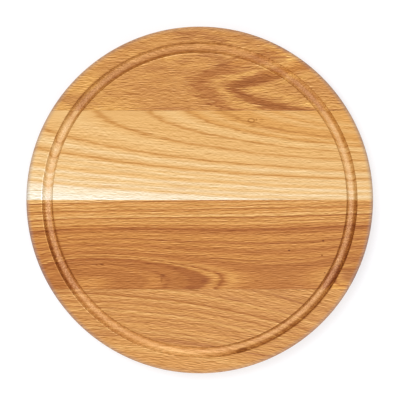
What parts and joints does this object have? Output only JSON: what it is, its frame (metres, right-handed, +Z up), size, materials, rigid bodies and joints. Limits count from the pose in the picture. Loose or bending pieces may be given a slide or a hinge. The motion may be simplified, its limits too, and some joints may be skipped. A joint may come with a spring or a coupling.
{
  "type": "round cutting board",
  "caption": "Round solid oak cutting board of edge-glued staves, with rounded edges and a juice groove routed just inside the rim.",
  "frame": {"origin": "centre of the underside, on the surface that the board lies on", "axes": "+Z up out of the cutting surface, X along the grain and the glue lines, Y across the staves"},
  "size_m": [0.3, 0.3, 0.02],
  "materials": {
    "brown_oak": "sanded and oiled, satin",
    "pale_oak": "sanded and oiled, satin",
    "honey_oak": "sanded and oiled, satin",
    "tan_oak": "sanded and oiled, satin",
    "wood_glue": "cured wood glue"
  },
  "bodies": {
    "root": {"back_stave": "brown_oak", "back_middle_stave": "pale_oak", "front_middle_stave": "honey_oak", "front_stave": "tan_oak", "back_glue_line": "wood_glue", "centre_glue_line": "wood_glue", "front_glue_line": "wood_glue"}
  },
  "joints": []
}
